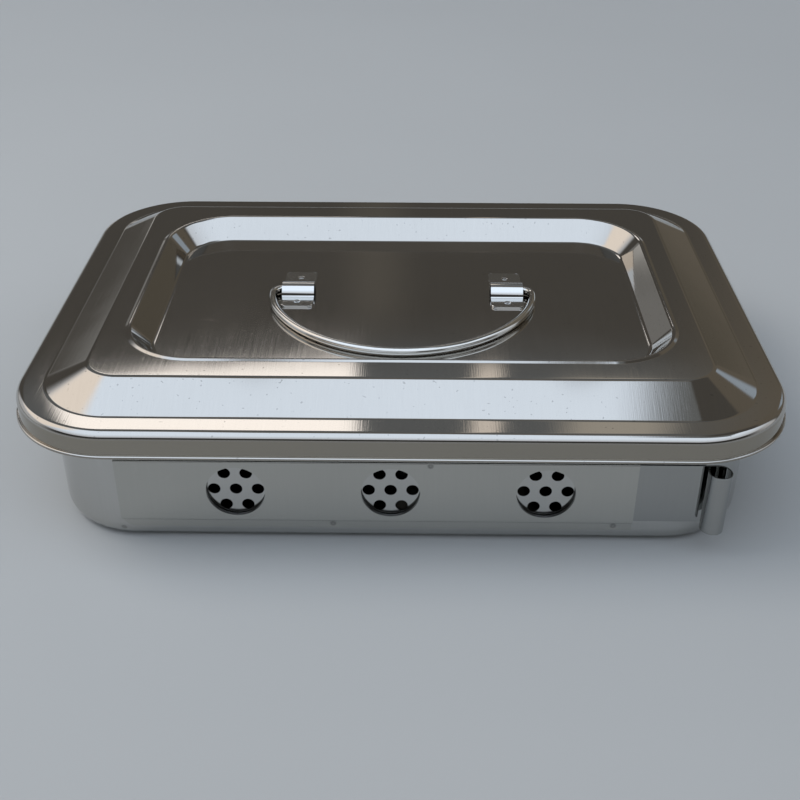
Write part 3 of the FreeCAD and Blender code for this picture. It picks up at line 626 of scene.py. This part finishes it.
@dataclass
class Tray:
    """Deep drawn tray with a rolled rim, and the guide strips and shutters on its long walls."""

    half_length: float = 131.0
    half_width: float = 93.0
    corner: float = 32.0
    sheet: float = 0.7
    height: float = 54.1
    base_radius: float = 7.0
    rim_bend: float = 2.0
    rim_reach: float = 6.0
    bead: float = 1.5
    floor_start: float = 6.0
    spine_back: float = 30.0
    hole: float = 4.6
    hole_pitch: float = 8.0
    vent_height: float = 24.1
    vents: tuple[float, ...] = (-59.5, -3.0, 53.5)
    drill_reach: tuple[float, float] = (-3.0, 2.0)
    hole_sides: int = 20
    crease: float = 35.0
    strip_crease: float = 40.0
    strip_ease: float = 0.10
    steps: int = 28

    def shell(self) -> bpy.types.Object:
        """The drawn shell.

        Its inner surface runs from the middle of the floor up the wall and out over the rim to the bead; the
        bead is an arc of 238 degrees; the outer surface is the inner one moved out by the sheet's thickness.

        Returns:
            The object, without its holes.
        """
        wall = self.corner - self.sheet
        out = self.corner + self.rim_reach
        corners = np.array([
            [self.floor_start, self.sheet], [wall, self.sheet], [wall, self.height], [out, self.height],
        ])
        radii = np.array([self.base_radius - self.sheet, self.rim_bend])
        inner, normals = filleted(corners, radii, BEND_STEPS)
        outer = inner - normals * self.sheet
        turn = math.asin((self.bead - self.sheet) / self.bead)
        angles = np.linspace(math.pi / 2, turn - math.pi, BEAD_STEPS)
        mid = np.array([out, self.height - self.bead])
        bead = mid + self.bead * np.stack([np.cos(angles), np.sin(angles)], 1)
        back = outer[-2::-1]
        profile = np.vstack([[[0.0, self.sheet]], inner, bead[1:], back, [[0.0, 0.0]]])
        centres = np.tile([self.half_length - self.corner, self.half_width - self.corner], (len(profile), 1))
        centres[0] = centres[-1] = (self.half_length - self.corner - self.spine_back, 0.0)
        return mesh_object("drawn_tray", rounded_sweep(centres, profile, self.steps))

    def pierce(self, made: bpy.types.Object) -> None:
        """Cut the steam holes, six round one in each group, through both long walls.

        A hole's edge is (x + r cos a, y, z + r sin a), carried from one side of the wall to the other.

        Args:
            made: The drawn shell.
        """
        ring = np.arange(6) * math.pi / 3
        spots = np.vstack([[[0.0, 0.0]], self.hole_pitch * np.stack([np.cos(ring), np.sin(ring)], 1)])
        spots = (np.array(self.vents)[:, None, None] * np.array([1.0, 0.0]) + spots[None]).reshape(-1, 2)
        turn = np.arange(self.hole_sides) * 2 * math.pi / self.hole_sides
        edge = np.stack([np.cos(turn), np.sin(turn)], 1) * self.hole / 2
        drill = bpy.data.meshes.new("drill")
        points, faces = [], []
        for side in (-1.0, 1.0):
            xz = spots[:, None, :] * np.array([-side, 1.0]) + edge[None]
            for near in (self.half_width + reach for reach in self.drill_reach):
                y = np.full(xz.shape[:2], side * near)
                points.append(np.stack([xz[..., 0], y, xz[..., 1] + self.vent_height], -1).reshape(-1, 3))
        count = len(spots) * self.hole_sides
        index = np.arange(count).reshape(len(spots), self.hole_sides)
        for side, way in ((0, 1), (1, -1)):
            low, high = index + side * 2 * count, index + (side * 2 + 1) * count
            walls = np.stack([low, np.roll(low, -1, 1), np.roll(high, -1, 1), high], -1).reshape(-1, 4)
            faces += walls[:, ::way].tolist() + low[:, ::-way].tolist() + high[:, ::way].tolist()
        drill.from_pydata((np.vstack(points) * MM).tolist(), [], faces)
        cutter = bpy.data.objects.new("drill", drill)
        bpy.context.scene.collection.objects.link(cutter)
        cut = made.modifiers.new("holes", "BOOLEAN")
        cut.operation, cut.solver, cut.object = "DIFFERENCE", "EXACT", cutter
        bake_modifiers(made)
        bpy.data.objects.remove(cutter)

    def build(self) -> None:
        """Make the shell, cut its holes, and dress the shell and the strips on it."""
        shell = self.shell()
        self.pierce(shell)
        even_shading(shell, self.crease)
        dress(shell, TRAY_STEEL.material())
        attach(shell, "tray")
        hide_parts("tray_body")
        log.info("%s: %d faces", shell.name, len(shell.data.polygons))
        guide, shutter = GUIDE_STEEL.material(), SHUTTER_STEEL.material()
        for name, finish in (
            ("front_guide", guide), ("rear_guide", guide), ("front_shutter", shutter), ("rear_shutter", shutter),
        ):
            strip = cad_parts[name]
            even_shading(strip, self.strip_crease, self.strip_ease)
            dress(strip, finish)
            log.info("%s: dressed", name)


@dataclass
class Lid:
    """Stamped lid with its skirt, flange, sloped border, ring and sunk panel, and the two strap brackets."""

    half_length: float = 142.0
    half_width: float = 104.0
    corner: float = 39.0
    sheet: float = 0.7
    skirt_bottom: float = 45.4
    bead: float = 0.65
    flange_top: float = 55.1
    slope_foot: float = 28.4
    slope_head: float = 12.2
    ring_top: float = 63.0
    panel_half: tuple[float, float] = (106.0, 65.75)
    panel_corner: float = 28.0
    panel_inset: float = 7.4
    panel_foot: float = 2.2
    panel_lip: float = 1.6
    lip_at: float = 26.7
    ridge: tuple[float, float, float] = (1.0, 1.15, 0.52)
    ridge_bend: float = 0.5
    panel_start: float = 6.0
    panel_top: float = 54.3
    ring_span: tuple[float, float] = (3.6, 3.0)
    bends: tuple[float, float, float] = (4.0, 3.0, 3.3)
    bead_offset: tuple[float, float] = (1.0, 0.1)
    bead_turn: float = 245.0
    strap_crease: float = 40.0
    strap_ease: float = 0.28
    steps: int = 32

    def shell(self) -> bpy.types.Object:
        """The stamped shell.

        Its upper surface runs from the middle of the panel up the panel's wall, over a low ridge and the ring,
        down the slope and out over the flange to the skirt and its bead. The flat ring joins the panel's corner
        centres to the lid's own. The lower surface is the upper one moved in by the sheet's thickness. The
        profile is turned round at the end, so that the faces point outward.

        Returns:
            The object.
        """
        crown, flank, rise = self.ridge
        level = self.ring_top - rise
        hollow = np.array([
            [self.panel_start, self.panel_top], [self.lip_at - self.panel_inset, self.panel_top],
            [self.lip_at, self.ring_top], [self.lip_at + crown, self.ring_top],
            [self.lip_at + crown + flank, level], [self.panel_corner + self.ring_span[0], level],
        ])
        recess_bends = np.array([self.panel_foot, self.panel_lip, self.ridge_bend, self.ridge_bend])
        inner, inner_normals = filleted(hollow, recess_bends, BEND_STEPS)
        bead_out, bead_up = self.bead_offset
        bead_mid = np.array([self.corner + bead_out - self.bead, self.skirt_bottom + bead_up])
        edge_angle = math.acos((self.corner - bead_mid[0]) / self.bead)
        border = np.array([
            [self.slope_head - self.ring_span[1], level], [self.slope_head, level],
            [self.slope_foot, self.flange_top], [self.corner, self.flange_top],
            [self.corner, bead_mid[1] + self.bead * math.sin(edge_angle)],
        ])
        outer, outer_normals = filleted(border, np.array(self.bends), BORDER_STEPS)
        angles = np.linspace(edge_angle, edge_angle - math.radians(self.bead_turn), BEAD_STEPS)
        bead = bead_mid + self.bead * np.stack([np.cos(angles), np.sin(angles)], 1)
        under_edge = np.array([[self.corner - self.sheet, self.skirt_bottom]])
        under_outer = (outer - outer_normals * self.sheet)[:-1][::-1]
        under_inner = (inner - inner_normals * self.sheet)[::-1]
        spine_top, spine_low = [[0.0, self.panel_top]], [[0.0, self.panel_top - self.sheet]]
        parts = [spine_top, inner, outer, bead[1:], under_edge, under_outer, under_inner, spine_low]
        profile = np.vstack(parts)
        hole = np.array(self.panel_half) - self.panel_corner
        whole = np.array([self.half_length, self.half_width]) - self.corner
        spine = np.array([hole[0] - hole[1], 0.0])
        owners = [spine, hole, whole, whole, whole, whole, hole, spine]
        centres = np.vstack([np.tile(own, (len(part), 1)) for own, part in zip(owners, parts)])[::-1]
        return mesh_object("stamped_lid", rounded_sweep(centres, profile[::-1], self.steps))

    def build(self) -> None:
        """Make the shell and dress it and the brackets."""
        shell = self.shell()
        even_shading(shell)
        dress(shell, LID_STEEL.material())
        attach(shell, "lid")
        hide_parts("lid_shell")
        log.info("%s: %d faces", shell.name, len(shell.data.polygons))
        strap = BRACKET_STEEL.material()
        for name in ("left_bracket", "right_bracket"):
            even_shading(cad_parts[name], self.strap_crease, self.strap_ease)
            dress(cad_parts[name], strap)
            log.info("%s: dressed", name)


@dataclass
class Handle:
    """Folding wire handle whose ends turn in to the brackets."""

    wire: float = 1.6
    level: float = 56.2
    pin: float = 39.55
    hinge: float = 4.5
    half_span: float = 54.0
    end_bend: float = 4.0
    side_radius: float = 38.0
    front: float = -47.5
    dome: float = 0.25
    dome_rim: float = 0.8
    arc_points: tuple[int, int, int] = (13, 14, 30)
    sides: int = 32

    def path(self) -> tuple[np.ndarray, np.ndarray]:
        """The wire's middle line from its right end to its left end, and its directions.

        It is made of arcs, each centre + radius * (cos a, sin a): the right end bend, the right side, the wide
        front arc, and the mirror images of the first two. The front arc's centre lies on the middle plane where
        the distance to a side's centre equals the difference of the two radii.

        Returns:
            Points and unit directions, one row each.
        """
        side_x = self.half_span - self.side_radius
        side_y = self.hinge - self.end_bend
        drop = side_y - self.front
        reach = (side_x**2 + drop**2 - self.side_radius**2) / (2 * (drop - self.side_radius))
        front_y = self.front + reach
        tangent = math.atan2(side_y - front_y, side_x)
        bend_points, side_points, wide_points = self.arc_points
        bend = np.linspace(math.pi / 2, 0.0, bend_points)
        side = np.linspace(0.0, tangent, side_points)[1:]
        wide = np.linspace(tangent, -math.pi / 2, wide_points)[1:]
        mids = np.vstack([
            np.tile([self.half_span - self.end_bend, side_y], (len(bend), 1)),
            np.tile([side_x, side_y], (len(side), 1)), np.tile([0.0, front_y], (len(wide), 1)),
        ])
        radii = np.concatenate([
            np.full(len(bend), self.end_bend), np.full(len(side), self.side_radius), np.full(len(wide), reach),
        ])
        angles = np.concatenate([bend, side, wide])
        half = mids + radii[:, None] * np.stack([np.cos(angles), np.sin(angles)], 1)
        heading = np.stack([np.sin(angles), -np.cos(angles)], 1)
        half = np.vstack([[[self.pin, self.hinge]], half])
        heading = np.vstack([[[1.0, 0.0]], heading])
        mirror = np.array([-1.0, 1.0])
        points = np.vstack([half, (half * mirror)[-2::-1]])
        ways = np.vstack([heading, (heading * -mirror)[-2::-1]])
        level = np.full((len(points), 1), self.level)
        return np.hstack([points, level]), np.hstack([ways, np.zeros((len(ways), 1))])

    def build(self) -> None:
        """Carry a circle along the path, close its ends with small domes and dress it."""
        path, ways = self.path()
        grid = tube_grid(path, ways, self.wire, self.sides)
        caps = []
        for end, way in ((0, -1.0), (-1, 1.0)):
            mid = path[end]
            rim = grid[end] - mid
            tip = way * ways[end] * self.dome
            caps.append((mid + rim * self.dome_rim + tip, mid + rim * 0.0 + tip))
        start = np.stack([caps[0][1], caps[0][0]])
        finish = np.stack([caps[1][0], caps[1][1]])
        made = mesh_object("wire_handle", np.concatenate([start, grid, finish]))
        even_shading(made)
        dress(made, WIRE_STEEL.material())
        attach(made, "handle")
        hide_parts("bail_handle")
        log.info("%s: %d faces", made.name, len(made.data.polygons))


# ---------------------------------------------------------------- the studio


@dataclass(frozen=True)
class Patch:
    """A soft-edged patch of the studio's surroundings, in degrees of azimuth from the rear and of elevation."""

    colour: Colour
    azimuth: tuple[float, float]
    elevation: tuple[float, float]
    soft: tuple[float, float]


@dataclass
class Studio:
    """Floor, surroundings, lamps and camera."""

    lens: float = 51.607
    camera_place: Point = (5.462, -428.615, 276.281)
    pitch: float = 0.566
    yaw: float = -0.015
    floor_size: float = 12.0
    floor_drop: float = 0.0001
    lamp_size: tuple[float, float] = (0.8, 0.6)
    lamp_power: float = 4.4
    lamp_place: Point = (-0.72, 0.02, 1.0)
    sensor: float = 36.0
    horizon: Colour = (0.36, 0.37, 0.375)
    wall: Colour = (0.62, 0.63, 0.65)
    ceiling: Colour = (1.21, 1.37, 1.59)
    roof: Colour = (0.19, 0.20, 0.205)
    low_front: Colour = (0.05, 0.05, 0.05)
    ceiling_from: tuple[float, float] = (14.0, 60.0)
    wall_from: tuple[float, float] = (3.5, 9.0)
    front_fade: tuple[float, float] = (80.0, 120.0)
    low_band: tuple[float, float, float] = (5.5, 25.0, 1.5)
    roof_across: tuple[float, float, float] = (0.200, 0.55, 0.032)
    roof_depth: tuple[float, float] = (-0.20, -0.12)
    roof_height: tuple[float, float] = (0.76, 0.82)
    patches: tuple[Patch, ...] = (
        Patch((1.35, 1.22, 1.10), (-95.0, -48.0), (26.0, 60.0), (6.0, 5.0)),
        Patch((0.092, 0.086, 0.077), (-47.0, 74.0), (2.6, 70.0), (4.0, 1.0)),
        Patch((0.190, 0.180, 0.165), (-40.0, 42.0), (61.0, 77.0), (4.0, 1.5)),
        Patch((0.155, 0.163, 0.169), (-47.0, 30.0), (29.9, 60.0), (4.0, 1.6)),
        Patch((0.160, 0.140, 0.112), (17.0, 70.0), (3.0, 45.0), (5.0, 1.5)),
        Patch((0.130, 0.120, 0.104), (-3.6, -0.8), (22.0, 28.5), (1.4, 1.5)),
        Patch((0.250, 0.247, 0.240), (-36.0, -27.0), (5.9, 11.0), (2.0, 0.5)),
        Patch((0.700, 0.690, 0.670), (-26.5, -20.0), (5.6, 11.0), (1.5, 0.5)),
        Patch((0.118, 0.105, 0.083), (20.0, 34.0), (6.2, 20.0), (2.0, 0.8)),
        Patch((1.85, 1.74, 1.66), (-20.6, -3.4), (30.3, 37.0), (0.5, 0.25)),
        Patch((1.00, 0.90, 0.80), (3.5, 5.1), (30.6, 46.0), (0.4, 0.3)),
        Patch((0.50, 0.46, 0.40), (9.0, 15.0), (31.0, 44.0), (1.5, 0.5)),
        Patch((0.40, 0.47, 0.55), (40.0, 52.0), (14.0, 26.0), (2.0, 2.0)),
    )

    def floor(self) -> bpy.types.Object:
        """A wide flat floor just under the tray, as a grid of two by two points spread over x and y.

        Returns:
            The object.
        """
        span = self.floor_size / 2
        x, y = np.meshgrid([-span, span], [-span, span])
        points = np.stack([x.ravel(), y.ravel(), np.full(4, -self.floor_drop)], 1)
        mesh = bpy.data.meshes.new("floor")
        mesh.from_pydata(points.tolist(), [], [(0, 1, 3, 2)])
        made = bpy.data.objects.new("floor", mesh)
        bpy.context.scene.collection.objects.link(made)
        made.data.materials.append(FloorFinish().material())
        return made

    def surroundings(self) -> None:
        """World light: a pale ceiling over a grey horizon, a dark front low down, a dark roof and the patches."""
        world = bpy.data.worlds.new("studio")
        bpy.context.scene.world = world
        graph = Graph(world)
        way = graph.add("ShaderNodeTexCoord", {}, {}, "Generated")
        x, y, z = graph.split(way)
        elevation = z.math("ARCSINE") * DEGREES
        azimuth = x.math("ARCTAN2", y) * DEGREES
        colour = graph.mix(elevation.ramp(*self.ceiling_from), self.wall, self.ceiling)
        colour = graph.mix(elevation.ramp(*self.wall_from), self.horizon, colour)
        front = azimuth.math("ABSOLUTE").ramp(*self.front_fade)
        roof = x.between(*self.roof_across) * y.ramp(*self.roof_depth) * z.ramp(*self.roof_height)
        colour = graph.mix(roof, colour, self.roof)
        low = front * elevation.between(*self.low_band)
        colour = graph.mix(low, colour, self.low_front)
        for patch in self.patches:
            mask = azimuth.between(*patch.azimuth, patch.soft[0]) * elevation.between(*patch.elevation, patch.soft[1])
            colour = graph.mix(mask, colour, patch.colour)
        light = graph.add("ShaderNodeBackground", {}, {"Color": colour, "Strength": 1.0})
        graph.node("ShaderNodeOutputWorld", {}, {"Surface": light})

    def lamps(self) -> None:
        """One wide soft lamp, high at the rear left."""
        lamp = bpy.data.lights.new("soft_lamp", "AREA")
        lamp.shape, lamp.energy = "RECTANGLE", self.lamp_power
        lamp.size, lamp.size_y = self.lamp_size
        made = bpy.data.objects.new("soft_lamp", lamp)
        bpy.context.scene.collection.objects.link(made)
        place = Vector(self.lamp_place)
        made.matrix_world = Matrix.LocRotScale(place, (-place).to_track_quat("-Z", "Y"), None)
        made.visible_glossy = False

    def camera(self) -> None:
        """The camera at the photograph's height and angle."""
        lens = bpy.data.cameras.new("camera")
        lens.lens, lens.sensor_width, lens.clip_start = self.lens, self.sensor, 0.01
        made = bpy.data.objects.new("camera", lens)
        bpy.context.scene.collection.objects.link(made)
        flat = math.cos(self.pitch)
        look = Vector((math.sin(self.yaw) * flat, math.cos(self.yaw) * flat, -math.sin(self.pitch)))
        made.location = Vector(self.camera_place) * MM
        made.rotation_mode = "QUATERNION"
        made.rotation_quaternion = look.to_track_quat("-Z", "Y")
        bpy.context.scene.camera = made

    def build(self) -> None:
        """Set up the whole studio."""
        self.floor()
        self.surroundings()
        self.lamps()
        self.camera()
        bpy.context.scene.view_settings.view_transform = "Standard"
        log.info("studio: ready")


def main() -> None:
    """Build the sub-assemblies and the studio in order."""
    Tray().build()
    Lid().build()
    Handle().build()
    Studio().build()


if __name__ == "__main__":
    main()
